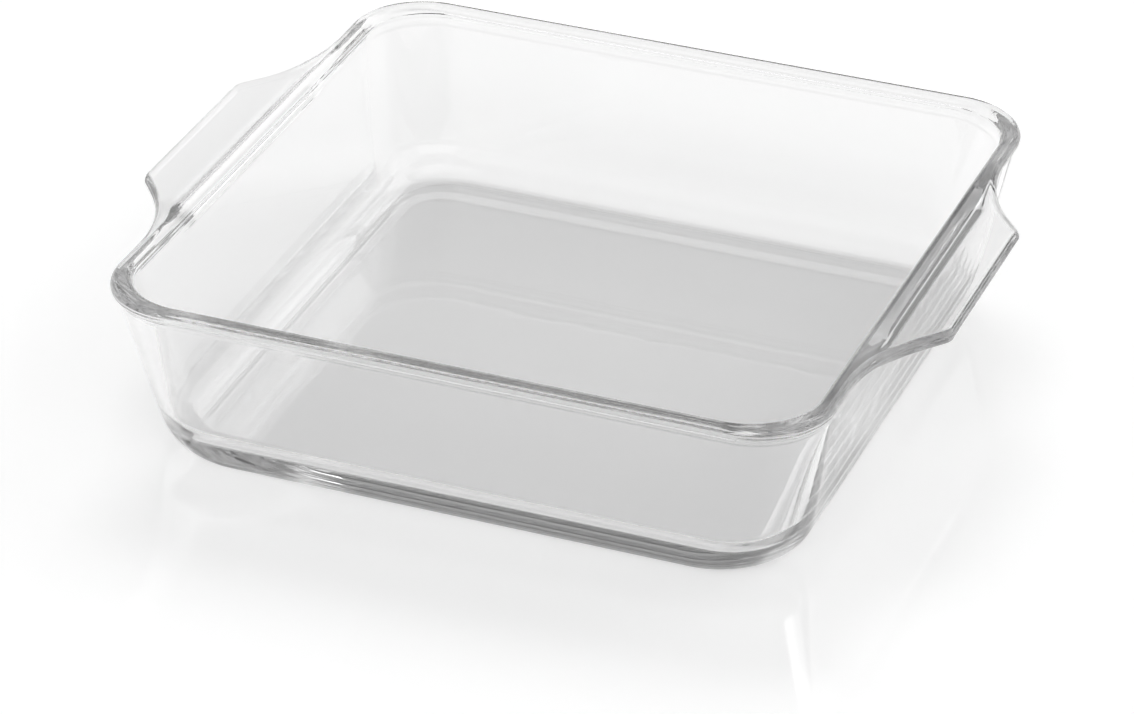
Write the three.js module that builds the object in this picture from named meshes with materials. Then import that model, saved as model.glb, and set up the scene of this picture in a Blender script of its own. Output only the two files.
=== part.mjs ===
// Square pressed-glass baking dish with two flat tab handles.
//
// The dish is one piece of clear glass: a square bowl with drafted walls, rounded corners and a
// rounded heel, a beaded rim, and a flat tab that grows out of the rim on the left and the right.
// Millimetres, +Z up. The origin is the middle of the resting face and the handles lie along X.
import * as THREE from 'three';

// Driving dimensions of the bowl
const rimWidth = 216; // across the outside of the rim, both ways
const height = 57.5; // from the resting face to the top of the rim
const rimCorner = 23.2; // corner radius of the rim, outside
const rimThickness = 4.3; // height of the rounded rim bead, and thickness of the tabs
const rimOverhang = 0.9; // how far the bead stands out from the outer wall
const rimFillet = 1.5; // hollow radius under the bead
const lipRadius = 3; // round from the rim's top into the inner wall
const wallDraft = 10; // lean of the outer wall, in degrees
const wallAtRim = 4.6; // wall thickness just under the rim
const wallAtFloor = 5.4; // wall thickness at the level of the inner floor
const floorThickness = 7.2; // glass under the inner floor
const heelRise = 11.5; // height at which the outer round leaves the wall
const heelRun = 9; // reach of that round in under the dish, from the line of the wall
const filletRise = 9; // height above the inner floor at which the inner round leaves the wall
const filletRun = 11.2; // reach of that round over the floor, from the line of the wall
const restCorner = 19; // corner radius of the flat resting face
const mouthCorner = 21; // corner radius of the inner wall at the rim
const floorCorner = 8; // corner radius of the flat inner floor
const leastCorner = 2; // no corner is sharper than this in plan

// Driving dimensions of the tab handles
const tabReach = 17; // how far a tab stands out from the rim
const tabEdge = 63; // straight outer edge, between its two sharp corner points
const tabSlant = 38.5; // turn of a tab's end from that edge, in degrees
const tabCorner = 4; // corner radius in plan, at the middle of the rounded edge
const tabBlend = 55; // hollow radius in plan, from a tab's end into the rim
const tabFillet = 5.5; // hollow radius between the wall and a tab's underside
const tabDrop = 0.8; // a tab's top lies this much under the top of the rim
const tabStep = 3.6; // width of the slope from the rim's top down to a tab's top

// Facets
const cornerFacets = 8;
const heelFacets = 5;
const hollowFacets = 3;
const beadFacets = 3; // in each half of the rounded edge
const lipFacets = 3;
const floorFacets = 5;
const tabCornerFacets = 3;
const tabBlendFacets = 6;

// The bead's middle line, and the wall lines as half-widths at a height
const beadRadius = rimThickness / 2;
const beadHalf = rimWidth / 2 - beadRadius;
const beadHeight = height - beadRadius;
const outerLean = THREE.MathUtils.degToRad(wallDraft);
const outerSlope = Math.tan(outerLean);
const innerSlope = outerSlope + (wallAtFloor - wallAtRim) / (beadHeight - floorThickness);
const innerLean = Math.atan(innerSlope);

function outerHalf(z) {
  return rimWidth / 2 - rimOverhang - outerSlope * (beadHeight - z);
}

function innerHalf(z) {
  return outerHalf(beadHeight) - wallAtRim - innerSlope * (beadHeight - z);
}

// Points of an arc in the wall's section, as { half, z }, both ends included
function sectionArc(centre, radius, from, to, facets) {
  const points = [];
  for (let i = 0; i <= facets; i += 1) {
    const angle = THREE.MathUtils.lerp(from, to, i / facets);
    points.push({
      half: centre.half + radius * Math.cos(angle),
      z: centre.z + radius * Math.sin(angle),
    });
  }
  return points;
}

// Points of an elliptic round in the wall's section, from start to end. It touches the two lines
// that meet at the corner.
function sectionRound(start, corner, end, facets) {
  const into = Math.atan2(corner.z - start.z, corner.half - start.half);
  const away = Math.atan2(end.z - corner.z, end.half - corner.half);
  const pull = Math.abs(Math.cos((away - into) / 2));
  const points = [];
  for (let i = 0; i <= facets; i += 1) {
    const share = i / facets;
    const first = (1 - share) ** 2;
    const middle = 2 * share * (1 - share) * pull;
    const last = share ** 2;
    const total = first + middle + last;
    points.push({
      half: (first * start.half + middle * corner.half + last * end.half) / total,
      z: (first * start.z + middle * corner.z + last * end.z) / total,
    });
  }
  return points;
}

// Rounds of the section that are the same all the way round
const up = Math.PI / 2;

const restHalf = outerHalf(0) - heelRun;
const heel = sectionRound(
  { half: restHalf, z: 0 },
  { half: outerHalf(0), z: 0 },
  { half: outerHalf(heelRise), z: heelRise },
  heelFacets,
);

const lipLevel = height - lipRadius;
const lipCentre = {
  half: innerHalf(lipLevel) + lipRadius / Math.cos(innerLean),
  z: lipLevel,
};
const lip = sectionArc(lipCentre, lipRadius, up, Math.PI - innerLean, lipFacets);

const filletLevel = floorThickness + filletRise;
const floorHalf = innerHalf(floorThickness) - filletRun;
const fillet = sectionRound(
  { half: innerHalf(filletLevel), z: filletLevel },
  { half: innerHalf(floorThickness), z: floorThickness },
  { half: floorHalf, z: floorThickness },
  floorFacets,
);

// Where the centres of the rounded corners stand, from the middle of the dish, at a height
const rimCornerCentre = rimWidth / 2 - rimCorner;
const restCornerCentre = restHalf - restCorner;
const mouthCornerCentre = innerHalf(beadHeight) - mouthCorner;
const floorCornerCentre = floorHalf - floorCorner;

function outerCorner(z) {
  const share = Math.min(z / beadHeight, 1);
  return THREE.MathUtils.lerp(restCornerCentre, rimCornerCentre, share);
}

function innerCorner(z) {
  const share = Math.min((z - floorThickness) / (beadHeight - floorThickness), 1);
  return THREE.MathUtils.lerp(floorCornerCentre, mouthCornerCentre, share);
}

// Half of a tab's outline, from the middle of its edge to the rim: the distance along the rim,
// the reach out of the rim, and the turn of the outline
function tabOutline() {
  const slant = THREE.MathUtils.degToRad(tabSlant);
  const footAlong = tabEdge / 2 + tabReach / Math.tan(slant);
  const tangentShare = Math.tan(slant / 2);
  const roomOnRim = (rimCornerCentre - footAlong) / tangentShare;
  const roomOnEnd = tabReach / (1 - Math.cos(slant)) - tabCorner;
  const blend = Math.min(tabBlend, roomOnRim, roomOnEnd);
  const edgeEnd = tabEdge / 2 - tabCorner * tangentShare;
  const rimEnd = footAlong + blend * tangentShare;
  const points = [];
  for (let i = 0; i <= tabCornerFacets; i += 1) {
    const turn = (slant * i) / tabCornerFacets;
    points.push({
      along: edgeEnd + tabCorner * Math.sin(turn),
      reach: tabReach - tabCorner * (1 - Math.cos(turn)),
      turn,
    });
  }
  for (let i = 0; i <= tabBlendFacets; i += 1) {
    const turn = slant * (1 - i / tabBlendFacets);
    points.push({
      along: rimEnd - blend * Math.sin(turn),
      reach: blend * (1 - Math.cos(turn)),
      turn,
    });
  }
  return points;
}

// Stations round the dish, anticlockwise from above. A station's point at half-width h lies at
// centre * (u, v) + (h - centre) * (cos facing, sin facing), with centre the corner centre.
function tabStations(facing) {
  const side = Math.cos(facing);
  const outline = tabOutline();
  const ends = outline.map((p) => ({ ...p, along: -p.along, turn: -p.turn })).reverse();
  return [...ends, ...outline].map((p) => ({
    u: side,
    v: (side * p.along) / rimCornerCentre,
    facing,
    reach: p.reach,
    turn: p.turn,
  }));
}

function cornerStations(start) {
  const middle = start + Math.PI / 4;
  const stations = [];
  for (let i = 0; i <= cornerFacets; i += 1) {
    stations.push({
      u: Math.sign(Math.cos(middle)),
      v: Math.sign(Math.sin(middle)),
      facing: start + ((Math.PI / 2) * i) / cornerFacets,
      reach: 0,
      turn: 0,
    });
  }
  return stations;
}

const stations = [
  ...tabStations(0),
  ...cornerStations(0),
  ...cornerStations(Math.PI / 2),
  ...tabStations(Math.PI),
  ...cornerStations(Math.PI),
  ...cornerStations(1.5 * Math.PI),
];

function planPoint(station, half, z, cornerCentre) {
  const centre = Math.min(cornerCentre, half - leastCorner);
  return new THREE.Vector3(
    centre * station.u + (half - centre) * Math.cos(station.facing),
    centre * station.v + (half - centre) * Math.sin(station.facing),
    z,
  );
}

// The hollow under the bead or tab: a ball that rolls between the outer wall and the glass above.
// It gives the hollow's points and the angle at which the rounded edge starts.
function hollowUnder(edge, radius) {
  const wallGap = radius / Math.cos(outerLean);
  const flatLevel = edge.z - beadRadius - radius;
  const ball = { half: outerHalf(flatLevel) + wallGap, z: flatLevel };
  let last = up;
  if (ball.half > edge.half) {
    const reach = beadRadius + radius;
    const gap = outerHalf(edge.z) + wallGap - edge.half;
    const tilt = 1 + outerSlope ** 2;
    const root = Math.sqrt((gap * outerSlope) ** 2 - tilt * (gap ** 2 - reach ** 2));
    ball.z = edge.z - (gap * outerSlope + root) / tilt;
    ball.half = outerHalf(ball.z) + wallGap;
    last = Math.atan2(edge.z - ball.z, edge.half - ball.half);
  }
  const points = sectionArc(ball, radius, Math.PI - outerLean, last, hollowFacets);
  return { points, flat: Math.max(edge.half - ball.half, 0), start: last - Math.PI };
}

// Section rows that follow the tabs: the hollow, the rounded edge and the slope on top
function edgeRows(station) {
  const grown = THREE.MathUtils.smoothstep(station.reach, 0, tabReach / 2);
  const edge = {
    half: beadHalf + station.reach,
    z: beadHeight - tabDrop * grown,
  };
  const hollow = hollowUnder(edge, THREE.MathUtils.lerp(rimFillet, tabFillet, grown));
  const rows = hollow.points.map((p) => planPoint(station, p.half, p.z, outerCorner(p.z)));

  const middle = planPoint(station, beadHalf, beadHeight, rimCornerCentre);
  middle.x += station.reach * Math.cos(station.facing);
  middle.y += station.reach * Math.sin(station.facing);
  const outward = station.facing + station.turn;
  const firstStep = -hollow.start / (beadFacets + 1);
  const firstShare = Math.max(1 - hollow.flat / (beadRadius * firstStep), 0);
  const first = hollow.start + firstStep * firstShare;
  for (let i = -beadFacets; i <= beadFacets; i += 1) {
    const angle = ((i < 0 ? -first : up) * i) / beadFacets;
    const out = beadRadius * Math.cos(angle);
    rows.push(new THREE.Vector3(
      middle.x + out * Math.cos(outward),
      middle.y + out * Math.sin(outward),
      edge.z + beadRadius * Math.sin(angle),
    ));
  }
  const slope = Math.min(tabStep, (edge.half - lipCentre.half) / 2);
  rows.push(planPoint(station, lipCentre.half + slope, edge.z + beadRadius, rimCornerCentre));
  return rows;
}

// One column of points for each station: up the outside, over the rim and down the inside
const columns = stations.map((station) => [
  ...heel.map((p) => planPoint(station, p.half, p.z, outerCorner(p.z))),
  ...edgeRows(station),
  ...lip.map((p) => planPoint(station, p.half, p.z, innerCorner(p.z))),
  ...fillet.map((p) => planPoint(station, p.half, p.z, innerCorner(p.z))),
]);

// The closed skin: quads between the columns, and a fan over each flat
function dishGeometry() {
  const rowCount = columns[0].length;
  const positions = columns.flat().flatMap((p) => [p.x, p.y, p.z]);
  const restMiddle = positions.length / 3;
  positions.push(0, 0, 0);
  const floorMiddle = restMiddle + 1;
  positions.push(0, 0, floorThickness);
  const index = [];
  columns.forEach((column, i) => {
    const here = i * rowCount;
    const next = ((i + 1) % columns.length) * rowCount;
    for (let row = 0; row + 1 < rowCount; row += 1) {
      index.push(here + row, next + row, next + row + 1);
      index.push(here + row, next + row + 1, here + row + 1);
    }
    index.push(restMiddle, next, here);
    index.push(floorMiddle, here + rowCount - 1, next + rowCount - 1);
  });
  const geometry = new THREE.BufferGeometry();
  geometry.setAttribute('position', new THREE.Float32BufferAttribute(positions, 3));
  geometry.setIndex(index);
  geometry.computeVertexNormals();
  return geometry;
}

const clearGlass = new THREE.MeshStandardMaterial({
  color: '#e9eceb',
  roughness: 0.04,
  metalness: 0,
  transparent: true,
  opacity: 0.35,
});

const dish = new THREE.Mesh(dishGeometry(), clearGlass);
dish.name = 'dish';

const bakingDish = new THREE.Group();
bakingDish.add(dish);

export default bakingDish;
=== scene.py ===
"""Looks of a square clear-glass baking dish: its fine glass surface, the studio round it and the camera."""
import math

import bpy
from mathutils import Matrix, Vector


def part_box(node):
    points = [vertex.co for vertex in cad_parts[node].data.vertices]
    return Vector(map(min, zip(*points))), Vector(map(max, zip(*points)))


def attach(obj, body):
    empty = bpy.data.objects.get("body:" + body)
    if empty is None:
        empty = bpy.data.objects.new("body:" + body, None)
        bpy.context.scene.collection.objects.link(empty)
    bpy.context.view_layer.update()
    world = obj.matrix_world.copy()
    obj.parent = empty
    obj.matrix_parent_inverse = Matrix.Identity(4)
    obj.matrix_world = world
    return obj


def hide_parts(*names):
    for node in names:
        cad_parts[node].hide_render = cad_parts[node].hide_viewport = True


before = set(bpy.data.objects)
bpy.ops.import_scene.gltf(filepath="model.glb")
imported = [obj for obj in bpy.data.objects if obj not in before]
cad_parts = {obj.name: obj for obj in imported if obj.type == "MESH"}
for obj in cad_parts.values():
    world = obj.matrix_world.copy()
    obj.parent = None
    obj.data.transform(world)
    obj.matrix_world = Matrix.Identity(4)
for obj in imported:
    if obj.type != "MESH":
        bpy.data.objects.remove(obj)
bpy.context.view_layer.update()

MM = 0.001

# Sizes of the dish that the frame gives
DISH_LOW, DISH_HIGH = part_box("dish")
RIM_WIDTH = DISH_HIGH.y - DISH_LOW.y
HEIGHT = DISH_HIGH.z - DISH_LOW.z
TAB_REACH = (DISH_HIGH.x - DISH_LOW.x - RIM_WIDTH) / 2

# Sizes of the bowl's section and corners
RIM_CORNER = 23.2 * MM
RIM_THICKNESS = 4.3 * MM
RIM_OVERHANG = 0.9 * MM
RIM_FILLET = 1.5 * MM
LIP_RADIUS = 3 * MM
WALL_DRAFT = math.radians(10)
WALL_AT_RIM = 4.6 * MM
WALL_AT_FLOOR = 5.4 * MM
FLOOR_THICKNESS = 7.2 * MM
HEEL_RISE = 11.5 * MM
HEEL_RUN = 9 * MM
FILLET_RISE = 9 * MM
FILLET_RUN = 11.2 * MM
REST_CORNER = 19 * MM
MOUTH_CORNER = 21 * MM
FLOOR_CORNER = 8 * MM

# Sizes of the tab handles
TAB_EDGE = 63 * MM
TAB_SLANT = math.radians(38.5)
TAB_CORNER = 4 * MM
TAB_BLEND = 55 * MM
TAB_FILLET = 5.5 * MM
TAB_DROP = 0.8 * MM
TAB_STEP = 3.6 * MM

# Steps of each round
CORNER_STEPS = 36
HEEL_STEPS = 20
HOLLOW_STEPS = 12
BEAD_STEPS = 12
LIP_STEPS = 14
FILLET_STEPS = 20
TAB_CORNER_STEPS = 10
TAB_BLEND_STEPS = 24

# How far the large flats lead the smooth shading, of 100
FLATS_LEAD = 90

# The bead's middle line and the lean of the walls
BEAD_RADIUS = RIM_THICKNESS / 2
BEAD_HALF = RIM_WIDTH / 2 - BEAD_RADIUS
BEAD_HEIGHT = HEIGHT - BEAD_RADIUS
OUTER_SLOPE = math.tan(WALL_DRAFT)
INNER_SLOPE = OUTER_SLOPE + (WALL_AT_FLOOR - WALL_AT_RIM) / (BEAD_HEIGHT - FLOOR_THICKNESS)
INNER_LEAN = math.atan(INNER_SLOPE)
UP = math.pi / 2


def mix(a, b, share):
    return a + (b - a) * share


def smooth_share(value, start, end):
    share = min(max((value - start) / (end - start), 0), 1)
    return share * share * (3 - 2 * share)


def outer_half(z):
    return RIM_WIDTH / 2 - RIM_OVERHANG - OUTER_SLOPE * (BEAD_HEIGHT - z)


def inner_half(z):
    return outer_half(BEAD_HEIGHT) - WALL_AT_RIM - INNER_SLOPE * (BEAD_HEIGHT - z)


def section_arc(centre, radius, start, end, steps):
    """Points (half-width, height) of an arc in the wall's section, both ends included."""
    angles = [mix(start, end, i / steps) for i in range(steps + 1)]
    return [(centre[0] + radius * math.cos(a), centre[1] + radius * math.sin(a)) for a in angles]


def section_round(start, corner, end, steps):
    """Points of an elliptic round from start to end, along the two lines that meet at the corner."""
    into = math.atan2(corner[1] - start[1], corner[0] - start[0])
    away = math.atan2(end[1] - corner[1], end[0] - corner[0])
    pull = abs(math.cos((away - into) / 2))
    points = []
    for i in range(steps + 1):
        share = i / steps
        weights = ((1 - share) ** 2, 2 * share * (1 - share) * pull, share**2)
        half = sum(w * p[0] for w, p in zip(weights, (start, corner, end))) / sum(weights)
        z = sum(w * p[1] for w, p in zip(weights, (start, corner, end))) / sum(weights)
        points.append((half, z))
    return points


REST_HALF = outer_half(0) - HEEL_RUN
FLOOR_HALF = inner_half(FLOOR_THICKNESS) - FILLET_RUN
LIP_LEVEL = HEIGHT - LIP_RADIUS
LIP_CENTRE = (inner_half(LIP_LEVEL) + LIP_RADIUS / math.cos(INNER_LEAN), LIP_LEVEL)
RIM_CORNER_CENTRE = RIM_WIDTH / 2 - RIM_CORNER
REST_CORNER_CENTRE = REST_HALF - REST_CORNER
MOUTH_CORNER_CENTRE = inner_half(BEAD_HEIGHT) - MOUTH_CORNER
FLOOR_CORNER_CENTRE = FLOOR_HALF - FLOOR_CORNER


def outer_corner(z):
    """Where the centres of the outer wall's corners stand, from the middle of the dish."""
    return mix(REST_CORNER_CENTRE, RIM_CORNER_CENTRE, min(z / BEAD_HEIGHT, 1))


def inner_corner(z):
    share = (z - FLOOR_THICKNESS) / (BEAD_HEIGHT - FLOOR_THICKNESS)
    return mix(FLOOR_CORNER_CENTRE, MOUTH_CORNER_CENTRE, min(share, 1))


def tab_outline():
    """Half of a tab's outline as (distance along the rim, reach out of the rim, turn)."""
    foot_along = TAB_EDGE / 2 + TAB_REACH / math.tan(TAB_SLANT)
    tangent_share = math.tan(TAB_SLANT / 2)
    edge_end = TAB_EDGE / 2 - TAB_CORNER * tangent_share
    rim_end = foot_along + TAB_BLEND * tangent_share
    points = []
    for i in range(TAB_CORNER_STEPS + 1):
        turn = TAB_SLANT * i / TAB_CORNER_STEPS
        reach = TAB_REACH - TAB_CORNER * (1 - math.cos(turn))
        points.append((edge_end + TAB_CORNER * math.sin(turn), reach, turn))
    for i in range(TAB_BLEND_STEPS + 1):
        turn = TAB_SLANT * (1 - i / TAB_BLEND_STEPS)
        reach = TAB_BLEND * (1 - math.cos(turn))
        points.append((rim_end - TAB_BLEND * math.sin(turn), reach, turn))
    return points


def tab_stations(facing):
    """Stations (u, v, facing, reach, turn) along one handled side."""
    side = math.cos(facing)
    outline = tab_outline()
    ends = [(-along, reach, -turn) for along, reach, turn in reversed(outline)]
    return [
        (side, side * along / RIM_CORNER_CENTRE, facing, reach, turn)
        for along, reach, turn in ends + outline
    ]


def corner_stations(start):
    middle = start + math.pi / 4
    u = math.copysign(1, math.cos(middle))
    v = math.copysign(1, math.sin(middle))
    return [(u, v, start + UP * i / CORNER_STEPS, 0.0, 0.0) for i in range(CORNER_STEPS + 1)]


def plan_point(station, half, z, centre):
    u, v, facing, _, _ = station
    x = centre * u + (half - centre) * math.cos(facing)
    y = centre * v + (half - centre) * math.sin(facing)
    return (x, y, z)


def hollow_under(edge_half, edge_z, radius):
    """The hollow under the bead or tab, the flat beyond it and the angle where the rounded edge starts."""
    wall_gap = radius / math.cos(WALL_DRAFT)
    ball_z = edge_z - BEAD_RADIUS - radius
    ball_half = outer_half(ball_z) + wall_gap
    last = UP
    if ball_half > edge_half:
        reach = BEAD_RADIUS + radius
        gap = outer_half(edge_z) + wall_gap - edge_half
        tilt = 1 + OUTER_SLOPE**2
        root = math.sqrt((gap * OUTER_SLOPE) ** 2 - tilt * (gap**2 - reach**2))
        ball_z = edge_z - (gap * OUTER_SLOPE + root) / tilt
        ball_half = outer_half(ball_z) + wall_gap
        last = math.atan2(edge_z - ball_z, edge_half - ball_half)
    points = section_arc((ball_half, ball_z), radius, math.pi - WALL_DRAFT, last, HOLLOW_STEPS)
    return points, max(edge_half - ball_half, 0), last - math.pi


def edge_rows(station):
    """The hollow, the rounded edge and the slope on top, at one station."""
    _, _, facing, reach, turn = station
    grown = smooth_share(reach, 0, TAB_REACH / 2)
    edge_half = BEAD_HALF + reach
    edge_z = BEAD_HEIGHT - TAB_DROP * grown
    hollow, flat, start = hollow_under(edge_half, edge_z, mix(RIM_FILLET, TAB_FILLET, grown))
    rows = [plan_point(station, half, z, outer_corner(z)) for half, z in hollow]
    middle_x, middle_y, _ = plan_point(station, BEAD_HALF, BEAD_HEIGHT, RIM_CORNER_CENTRE)
    middle_x += reach * math.cos(facing)
    middle_y += reach * math.sin(facing)
    first_step = -start / (BEAD_STEPS + 1)
    first = start + first_step * max(1 - flat / (BEAD_RADIUS * first_step), 0)
    for i in range(-BEAD_STEPS, BEAD_STEPS + 1):
        angle = (-first if i < 0 else UP) * i / BEAD_STEPS
        out = BEAD_RADIUS * math.cos(angle)
        x = middle_x + out * math.cos(facing + turn)
        y = middle_y + out * math.sin(facing + turn)
        rows.append((x, y, edge_z + BEAD_RADIUS * math.sin(angle)))
    slope = min(TAB_STEP, (edge_half - LIP_CENTRE[0]) / 2)
    rows.append(plan_point(station, LIP_CENTRE[0] + slope, edge_z + BEAD_RADIUS, RIM_CORNER_CENTRE))
    return rows


def dish_columns():
    """One column of points a station: up the outside, over the rim and down the inside."""
    heel_end = (outer_half(HEEL_RISE), HEEL_RISE)
    heel = section_round((REST_HALF, 0), (outer_half(0), 0), heel_end, HEEL_STEPS)
    lip = section_arc(LIP_CENTRE, LIP_RADIUS, UP, math.pi - INNER_LEAN, LIP_STEPS)
    fillet_level = FLOOR_THICKNESS + FILLET_RISE
    floor_corner = (inner_half(FLOOR_THICKNESS), FLOOR_THICKNESS)
    floor_end = (FLOOR_HALF, FLOOR_THICKNESS)
    fillet = section_round((inner_half(fillet_level), fillet_level), floor_corner, floor_end, FILLET_STEPS)
    stations = (
        tab_stations(0)
        + corner_stations(0)
        + corner_stations(UP)
        + tab_stations(math.pi)
        + corner_stations(math.pi)
        + corner_stations(math.pi + UP)
    )
    return [
        [plan_point(s, half, z, outer_corner(z)) for half, z in heel]
        + edge_rows(s)
        + [plan_point(s, half, z, inner_corner(z)) for half, z in lip + fillet]
        for s in stations
    ]


def build_dish():
    columns = dish_columns()
    row_count = len(columns[0])
    points = [p for column in columns for p in column]
    rest_middle = len(points)
    points.append((0, 0, 0))
    floor_middle = len(points)
    points.append((0, 0, FLOOR_THICKNESS))
    faces = []
    for i in range(len(columns)):
        here = i * row_count
        after = (i + 1) % len(columns) * row_count
        for row in range(row_count - 1):
            faces.append((here + row, after + row, after + row + 1, here + row + 1))
        faces.append((rest_middle, after, here))
        faces.append((floor_middle, here + row_count - 1, after + row_count - 1))
    mesh = bpy.data.meshes.new("glass_dish")
    mesh.from_pydata(points, [], faces)
    mesh.shade_smooth()
    piece = bpy.data.objects.new("glass_dish", mesh)
    bpy.context.scene.collection.objects.link(piece)
    normals = piece.modifiers.new("flats_lead", "WEIGHTED_NORMAL")
    normals.weight = FLATS_LEAD
    return piece


def soft_step(tree, value, start, end):
    """0 on the start's side and 1 on the end's side, with a smooth step between them."""
    step = tree.nodes.new("ShaderNodeMapRange")
    step.interpolation_type = "SMOOTHSTEP"
    step.inputs["From Min"].default_value = start
    step.inputs["From Max"].default_value = end
    tree.links.new(value, step.inputs["Value"])
    return step.outputs["Result"]


def product(tree, first, second):
    both = tree.nodes.new("ShaderNodeMath")
    both.operation = "MULTIPLY"
    tree.links.new(first, both.inputs[0])
    tree.links.new(second, both.inputs[1])
    return both.outputs[0]


def direction(azimuth, elevation):
    """A unit vector. Azimuth 0 is over the camera, and it grows anticlockwise, seen from above."""
    around = CAMERA_AZIMUTH - UP + math.radians(azimuth)
    level = math.cos(math.radians(elevation))
    return (level * math.cos(around), level * math.sin(around), math.sin(math.radians(elevation)))


# Looks of the glass: the grey tint of its surface, and how much a metre of it takes away
GLASS_TINT = 0.95
GLASS_GREY = 0.5
GLASS_DENSITY = 2.6
GLASS_IOR = 1.5

# Faint hazy patches: the size and detail of their noise, the part of it that turns hazy, and the roughness
HAZE_SCALE = 9
HAZE_DETAIL = 3
HAZE_FROM = (0.55, 0.8)
GLASS_ROUGHNESS = (0.0, 0.004)

# Faint waves that pressing leaves, and fine lines round the rim, which fade between two depths below its top
WAVE_SCALE = 60
WAVE_DETAIL = 1
WAVE_DEPTH = 0.03 * MM
RIM_LINE_SCALE = 900
RIM_LINE_DETAIL = 1
RIM_LINE_DEPTH = 0.32 * MM
RIM_LINE_BAND = (6 * MM, 5 * MM)


def noise(tree, scale, detail):
    """A soft noise through the solid, which stays in place as the dish moves."""
    place = tree.nodes.new("ShaderNodeTexCoord")
    pattern = tree.nodes.new("ShaderNodeTexNoise")
    pattern.inputs["Scale"].default_value = scale
    pattern.inputs["Detail"].default_value = detail
    tree.links.new(place.outputs["Object"], pattern.inputs["Vector"])
    return pattern.outputs["Fac"]


def rim_lines(tree):
    """Fine lines round the rim, left by the mould, which change with height alone and fade below the rim."""
    place = tree.nodes.new("ShaderNodeTexCoord")
    apart = tree.nodes.new("ShaderNodeSeparateXYZ")
    tree.links.new(place.outputs["Object"], apart.inputs[0])
    pattern = tree.nodes.new("ShaderNodeTexNoise")
    pattern.noise_dimensions = "1D"
    pattern.inputs["Scale"].default_value = RIM_LINE_SCALE
    pattern.inputs["Detail"].default_value = RIM_LINE_DETAIL
    tree.links.new(apart.outputs["Z"], pattern.inputs["W"])
    start, end = (HEIGHT - depth for depth in RIM_LINE_BAND)
    return product(tree, pattern.outputs["Fac"], soft_step(tree, apart.outputs["Z"], start, end))


def glass_material():
    mat = bpy.data.materials.new("clear_glass")
    mat.use_nodes = True
    tree = mat.node_tree
    shader = tree.nodes["Principled BSDF"]
    shader.inputs["Base Color"].default_value = (GLASS_TINT, GLASS_TINT, GLASS_TINT, 1)
    shader.inputs["Transmission Weight"].default_value = 1.0
    shader.inputs["IOR"].default_value = GLASS_IOR
    haze = tree.nodes.new("ShaderNodeMapRange")
    haze.inputs["From Min"].default_value, haze.inputs["From Max"].default_value = HAZE_FROM
    haze.inputs["To Min"].default_value, haze.inputs["To Max"].default_value = GLASS_ROUGHNESS
    tree.links.new(noise(tree, HAZE_SCALE, HAZE_DETAIL), haze.inputs["Value"])
    tree.links.new(haze.outputs["Result"], shader.inputs["Roughness"])
    waves = tree.nodes.new("ShaderNodeBump")
    waves.inputs["Distance"].default_value = WAVE_DEPTH
    tree.links.new(noise(tree, WAVE_SCALE, WAVE_DETAIL), waves.inputs["Height"])
    lines = tree.nodes.new("ShaderNodeBump")
    lines.inputs["Distance"].default_value = RIM_LINE_DEPTH
    tree.links.new(rim_lines(tree), lines.inputs["Height"])
    tree.links.new(waves.outputs["Normal"], lines.inputs["Normal"])
    tree.links.new(lines.outputs["Normal"], shader.inputs["Normal"])
    depth = tree.nodes.new("ShaderNodeVolumeAbsorption")
    depth.inputs["Color"].default_value = (GLASS_GREY, GLASS_GREY, GLASS_GREY, 1)
    depth.inputs["Density"].default_value = GLASS_DENSITY
    tree.links.new(depth.outputs["Volume"], tree.nodes["Material Output"].inputs["Volume"])
    return mat


# The white table, in metres, and the cove where it turns up far from the dish
FLOOR_RADIUS = 12
FLOOR_DROP = 0.2 * MM
FLOOR_SHADE = 0.9
FLOOR_ROUGHNESS = 0.05
FLOOR_GLOW = 0.47
FLOOR_STEPS = 128
COVE_RADIUS = 1.1
COVE_STEPS = 12


def seen_ray(tree):
    """1 for the rays that the camera, a reflection or the glass sends out, and 0 for the rest."""
    path = tree.nodes.new("ShaderNodeLightPath")
    total = path.outputs["Is Camera Ray"]
    for kind in ("Is Glossy Ray", "Is Transmission Ray"):
        either = tree.nodes.new("ShaderNodeMath")
        either.operation = "MAXIMUM"
        tree.links.new(total, either.inputs[0])
        tree.links.new(path.outputs[kind], either.inputs[1])
        total = either.outputs[0]
    return total


def floor_material():
    mat = bpy.data.materials.new("white_floor")
    mat.use_nodes = True
    tree = mat.node_tree
    shader = tree.nodes["Principled BSDF"]
    shader.inputs["Base Color"].default_value = (FLOOR_SHADE, FLOOR_SHADE, FLOOR_SHADE, 1)
    shader.inputs["Roughness"].default_value = FLOOR_ROUGHNESS
    shader.inputs["Emission Color"].default_value = (1, 1, 1, 1)
    glow = tree.nodes.new("ShaderNodeMath")
    glow.operation = "MULTIPLY"
    glow.inputs[1].default_value = FLOOR_GLOW
    tree.links.new(seen_ray(tree), glow.inputs[0])
    tree.links.new(glow.outputs[0], shader.inputs["Emission Strength"])
    return mat


def ring_sheet(name, rows, start, end, steps):
    """A sheet swept round the dish between two azimuths, with rows of (radius, height), inmost first."""
    points = []
    faces = []
    for i in range(steps + 1):
        x, y, _ = direction(mix(start, end, i / steps), 0)
        points += [(radius * x, radius * y, z) for radius, z in rows]
    for i in range(steps):
        here = i * len(rows)
        after = here + len(rows)
        for row in range(len(rows) - 1):
            faces.append((here + row, here + row + 1, after + row + 1, after + row))
    mesh = bpy.data.meshes.new(name)
    mesh.from_pydata(points, [], faces)
    mesh.shade_smooth()
    sheet = bpy.data.objects.new(name, mesh)
    bpy.context.scene.collection.objects.link(sheet)
    return sheet


def build_floor():
    cove = section_arc((FLOOR_RADIUS, COVE_RADIUS - FLOOR_DROP), COVE_RADIUS, -UP, 0, COVE_STEPS)
    floor = ring_sheet("studio_floor", [(0, -FLOOR_DROP)] + cove, 0, 360, FLOOR_STEPS)
    floor.data.materials.append(floor_material())


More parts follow.
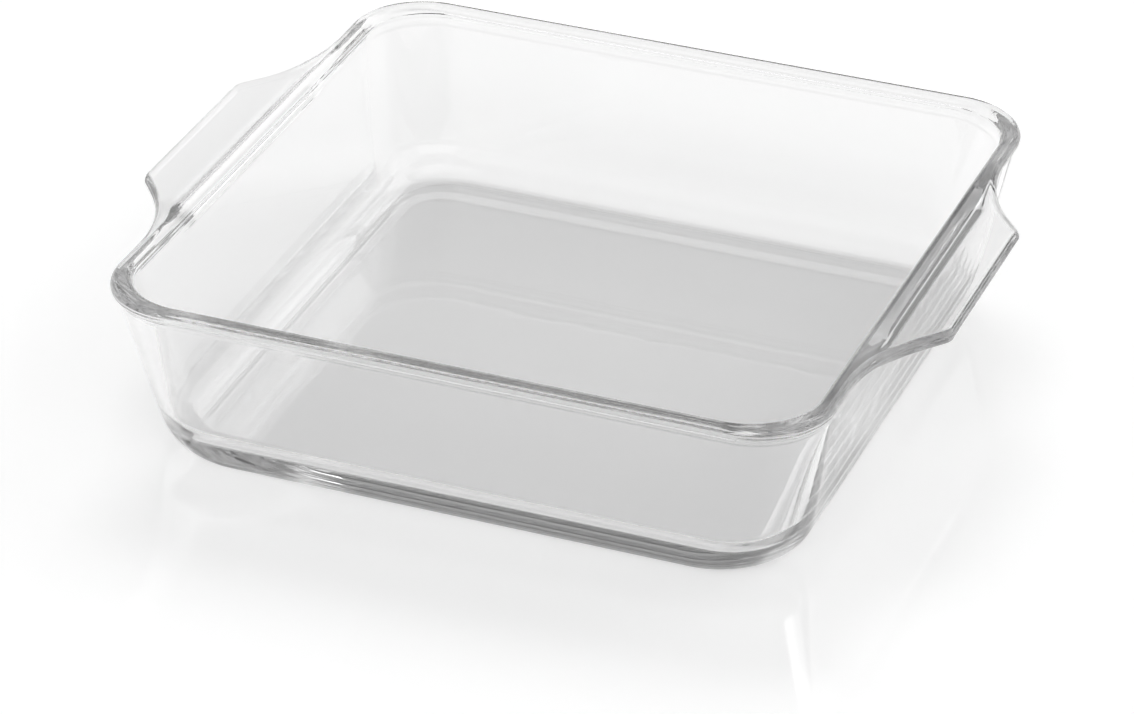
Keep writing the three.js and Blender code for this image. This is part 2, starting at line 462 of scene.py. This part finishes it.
# Light of the room, and the panels: middle azimuth, half width, low and high edge, softness (degrees), level
ROOM_LEVEL = 0.05
PANELS = {
    "front_key": (8, 37, 21, 51, 2, 1.37),
    "right_key": (114, 22, 21, 54, 2, 1.35),
    "between_keys": (68, 24, 21, 54, 2, 0.6),
    "top": (60, 100, 56, 95, 4, 0.86),
    "top_back": (240, 80, 56, 95, 4, 0.12),
    "back_right": (152, 16, 30, 46, 1, 2.0),
    "back": (184, 22, 22, 40, 2, 0.4),
    "back_strip": (184, 24, 44, 48, 1, 1.2),
    "back_strip_high": (184, 24, 53, 58, 1, 1.2),
    "back_left": (228, 30, -4, 20, 2, 0.8),
    "back_left_high": (240, 25, 20, 38, 2, 0.7),
    "left_low": (271, 13, -4, 20, 2, 0.2),
    "left": (300, 36, 18, 54, 2, 0.52),
    "side_right": (110, 26, -4, 21, 2, 0.5),
}


def add_panel(tree, heading, rise, total, panel):
    """Adds one panel of light to the total."""
    middle, half_width, low, high, softness, level = panel
    half_soft = softness / 2
    towards = tree.nodes.new("ShaderNodeVectorMath")
    towards.operation = "DOT_PRODUCT"
    towards.inputs[1].default_value = direction(middle, 0)
    tree.links.new(heading, towards.inputs[0])
    far = math.cos(math.radians(half_width + half_soft))
    near = math.cos(math.radians(half_width - half_soft))
    share = soft_step(tree, towards.outputs["Value"], far, near)
    for edge, side in ((low, 1), (high, -1)):
        dark = math.sin(math.radians(edge - side * half_soft))
        lit = math.sin(math.radians(edge + side * half_soft))
        share = product(tree, share, soft_step(tree, rise, dark, lit))
    added = tree.nodes.new("ShaderNodeMath")
    added.operation = "MULTIPLY_ADD"
    added.inputs[1].default_value = level
    tree.links.new(share, added.inputs[0])
    tree.links.new(total, added.inputs[2])
    return added.outputs[0]


def build_world():
    world = bpy.data.worlds.new("studio")
    bpy.context.scene.world = world
    world.use_nodes = True
    tree = world.node_tree
    background = tree.nodes["Background"]
    background.inputs["Color"].default_value = (1, 1, 1, 1)
    looking = tree.nodes.new("ShaderNodeTexCoord").outputs["Generated"]
    apart = tree.nodes.new("ShaderNodeSeparateXYZ")
    tree.links.new(looking, apart.inputs[0])
    flat = tree.nodes.new("ShaderNodeCombineXYZ")
    tree.links.new(apart.outputs["X"], flat.inputs["X"])
    tree.links.new(apart.outputs["Y"], flat.inputs["Y"])
    heading = tree.nodes.new("ShaderNodeVectorMath")
    heading.operation = "NORMALIZE"
    tree.links.new(flat.outputs["Vector"], heading.inputs[0])
    room = tree.nodes.new("ShaderNodeValue")
    room.outputs[0].default_value = ROOM_LEVEL
    total = room.outputs[0]
    for panel in PANELS.values():
        total = add_panel(tree, heading.outputs["Vector"], apart.outputs["Z"], total, panel)
    tree.links.new(total, background.inputs["Strength"])


# The lamp behind the dish, which throws its soft shadow forward on the table (degrees, metres, watts)
LAMP_AZIMUTH = 184
LAMP_ELEVATION = 55
LAMP_DISTANCE = 3
LAMP_SIZE = 1.2
LAMP_POWER = 15.5


def build_lamp():
    data = bpy.data.lights.new("back_lamp", "AREA")
    data.shape = "SQUARE"
    data.size = LAMP_SIZE
    data.energy = LAMP_POWER
    lamp = bpy.data.objects.new("back_lamp", data)
    way = Vector(direction(LAMP_AZIMUTH, LAMP_ELEVATION))
    lamp.location = way * LAMP_DISTANCE
    lamp.rotation_euler = way.to_track_quat("Z", "Y").to_euler()
    lamp.visible_camera = False
    lamp.visible_glossy = False
    lamp.visible_transmission = False
    bpy.context.scene.collection.objects.link(lamp)


# Painted shade: a dark sheet round the front, from left to right, that stands in for the dark room beyond
# the table and gives the glass its dark lines (metres, degrees)
CARD_RADIUS = 0.45
CARD_HEIGHT = 0.11
CARD_START, CARD_END = -75, 90
CARD_STEPS = 48
CARD_SHADE = 0.02


def build_painted_shade_card():
    """A low dark sheet round the front, painted shade for the dark room beyond the table, which is seen
    through the glass alone.
    """
    rows = [(CARD_RADIUS, 0), (CARD_RADIUS, CARD_HEIGHT)]
    card = ring_sheet("painted_shade_card", rows, CARD_START, CARD_END, CARD_STEPS)
    mat = bpy.data.materials.new("painted_shade_card")
    mat.use_nodes = True
    shader = mat.node_tree.nodes["Principled BSDF"]
    # Painted shade: the sheet's near-black colour stands in for the dark room, and only rays through the
    # glass see it
    shader.inputs["Base Color"].default_value = (CARD_SHADE, CARD_SHADE, CARD_SHADE, 1)
    card.data.materials.append(mat)
    card.visible_camera = False
    card.visible_diffuse = False
    card.visible_glossy = False
    card.visible_shadow = False


# The camera, found from the outlines in the photograph
CAMERA_TARGET = Vector((10.45, -35.1, 25.08)) * MM
CAMERA_DISTANCE = 1473.2 * MM
CAMERA_AZIMUTH = math.radians(20.97)
CAMERA_ELEVATION = math.radians(29.78)
CAMERA_ROLL = math.radians(0.658)
CAMERA_LENS = 161.8
SENSOR_WIDTH = 36.0
CLIP_START = 0.01


def build_camera():
    level = math.cos(CAMERA_ELEVATION)
    back = Vector((
        math.sin(CAMERA_AZIMUTH) * level,
        -math.cos(CAMERA_AZIMUTH) * level,
        math.sin(CAMERA_ELEVATION),
    ))
    right = Vector((math.cos(CAMERA_AZIMUTH), math.sin(CAMERA_AZIMUTH), 0))
    upright = back.cross(right)
    turned_right = right * math.cos(CAMERA_ROLL) + upright * math.sin(CAMERA_ROLL)
    turned_up = back.cross(turned_right)
    data = bpy.data.cameras.new("camera")
    data.sensor_fit = "HORIZONTAL"
    data.sensor_width = SENSOR_WIDTH
    data.lens = CAMERA_LENS
    data.clip_start = CLIP_START
    camera = bpy.data.objects.new("camera", data)
    turn = Matrix((turned_right, turned_up, back)).transposed()
    camera.matrix_world = Matrix.Translation(CAMERA_TARGET + back * CAMERA_DISTANCE) @ turn.to_4x4()
    bpy.context.scene.collection.objects.link(camera)
    bpy.context.scene.camera = camera


# Light is led a long way inside the rim and the heel, so its paths have many bounces
BOUNCES = 48

bpy.context.scene.view_settings.view_transform = "Standard"
light_paths = bpy.context.scene.cycles
light_paths.max_bounces = BOUNCES
light_paths.glossy_bounces = BOUNCES
light_paths.transmission_bounces = BOUNCES
build_camera()
dish = build_dish()
dish.data.materials.append(glass_material())
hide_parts("dish")
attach(dish, "root")
build_floor()
build_world()
build_lamp()
build_painted_shade_card()
